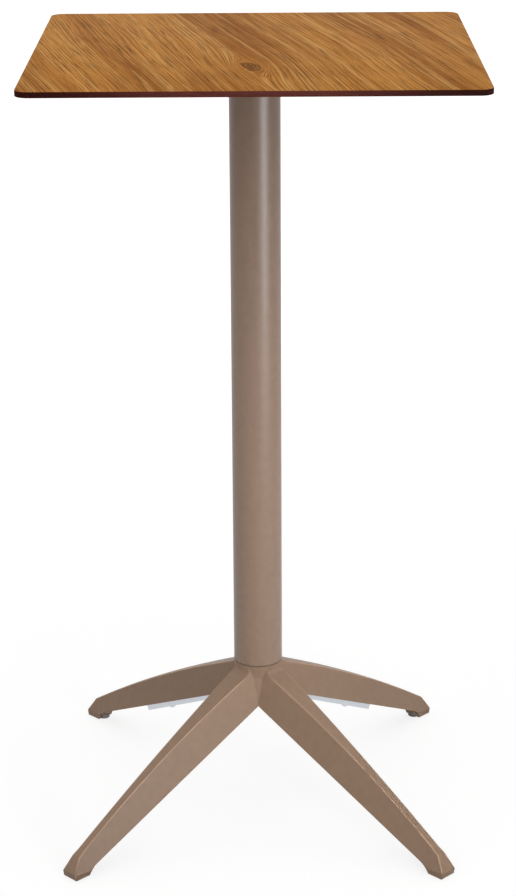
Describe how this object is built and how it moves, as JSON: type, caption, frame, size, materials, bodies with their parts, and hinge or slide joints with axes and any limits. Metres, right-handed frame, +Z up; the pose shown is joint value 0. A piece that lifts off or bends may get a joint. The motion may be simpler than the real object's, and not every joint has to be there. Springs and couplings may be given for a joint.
{
  "type": "bar-height pedestal table",
  "caption": "Tall square pedestal table: a thin wood-look laminate top on a round column, with a star base of splayed legs on screw-out levelling glides.",
  "frame": {"origin": "on the floor under the column's axis", "axes": "+Z up along the column, front towards -Y, +X to the right seen from the front, legs on the diagonals"},
  "size_m": [0.59, 0.59, 1.11],
  "materials": {
    "board_laminate": "satin",
    "column_coat": "matte",
    "casting_coat": "matte",
    "spider_coat": "matte",
    "zinc_steel": "satin",
    "brass_bush": "satin",
    "glide_plastic": "matte"
  },
  "bodies": {
    "table": {"tabletop": "board_laminate", "column_tube": "column_coat", "leg_base": "casting_coat", "top_spider": "spider_coat", "top_screws": "zinc_steel", "tie_rod": "zinc_steel", "tie_rod_washer": "zinc_steel", "tie_rod_nut": "zinc_steel", "top_inserts": "brass_bush", "stiffener_bar_rear_right": "zinc_steel", "bar_screws_rear_right": "zinc_steel", "glide_insert_rear_right": "brass_bush", "stiffener_bar_rear_left": "zinc_steel", "bar_screws_rear_left": "zinc_steel", "glide_insert_rear_left": "brass_bush", "stiffener_bar_front_left": "zinc_steel", "bar_screws_front_left": "zinc_steel", "glide_insert_front_left": "brass_bush", "stiffener_bar_front_right": "zinc_steel", "bar_screws_front_right": "zinc_steel", "glide_insert_front_right": "brass_bush"},
    "pad_rear_right": {"glide_pad_rear_right": "glide_plastic"},
    "stud_rear_right": {"glide_stud_rear_right": "zinc_steel"},
    "pad_rear_left": {"glide_pad_rear_left": "glide_plastic"},
    "stud_rear_left": {"glide_stud_rear_left": "zinc_steel"},
    "pad_front_left": {"glide_pad_front_left": "glide_plastic"},
    "stud_front_left": {"glide_stud_front_left": "zinc_steel"},
    "pad_front_right": {"glide_pad_front_right": "glide_plastic"},
    "stud_front_right": {"glide_stud_front_right": "zinc_steel"}
  },
  "joints": [
    {"name": "level_rear_right", "type": "slide", "parent": "table", "child": "pad_rear_right", "axis": [0, 0, -1], "range_m": [0, 0.008]},
    {"name": "turn_rear_right", "type": "hinge", "parent": "pad_rear_right", "child": "stud_rear_right", "pos_m": [0.24678, 0.24678, 0.016], "axis": [0, 0, -1], "range_deg": [0, 2304]},
    {"name": "level_rear_left", "type": "slide", "parent": "table", "child": "pad_rear_left", "axis": [0, 0, -1], "range_m": [0, 0.008]},
    {"name": "turn_rear_left", "type": "hinge", "parent": "pad_rear_left", "child": "stud_rear_left", "pos_m": [-0.24678, 0.24678, 0.016], "axis": [0, 0, -1], "range_deg": [0, 2304]},
    {"name": "level_front_left", "type": "slide", "parent": "table", "child": "pad_front_left", "axis": [0, 0, -1], "range_m": [0, 0.008]},
    {"name": "turn_front_left", "type": "hinge", "parent": "pad_front_left", "child": "stud_front_left", "pos_m": [-0.24678, -0.24678, 0.016], "axis": [0, 0, -1], "range_deg": [0, 2304]},
    {"name": "level_front_right", "type": "slide", "parent": "table", "child": "pad_front_right", "axis": [0, 0, -1], "range_m": [0, 0.008]},
    {"name": "turn_front_right", "type": "hinge", "parent": "pad_front_right", "child": "stud_front_right", "pos_m": [0.24678, -0.24678, 0.016], "axis": [0, 0, -1], "range_deg": [0, 2304]}
  ],
  "couplings": [
    {"joint": "turn_rear_right", "follows": "level_rear_right", "rad_per_m": 5026.5},
    {"joint": "turn_rear_left", "follows": "level_rear_left", "rad_per_m": 5026.5},
    {"joint": "turn_front_left", "follows": "level_front_left", "rad_per_m": 5026.5},
    {"joint": "turn_front_right", "follows": "level_front_right", "rad_per_m": 5026.5}
  ]
}
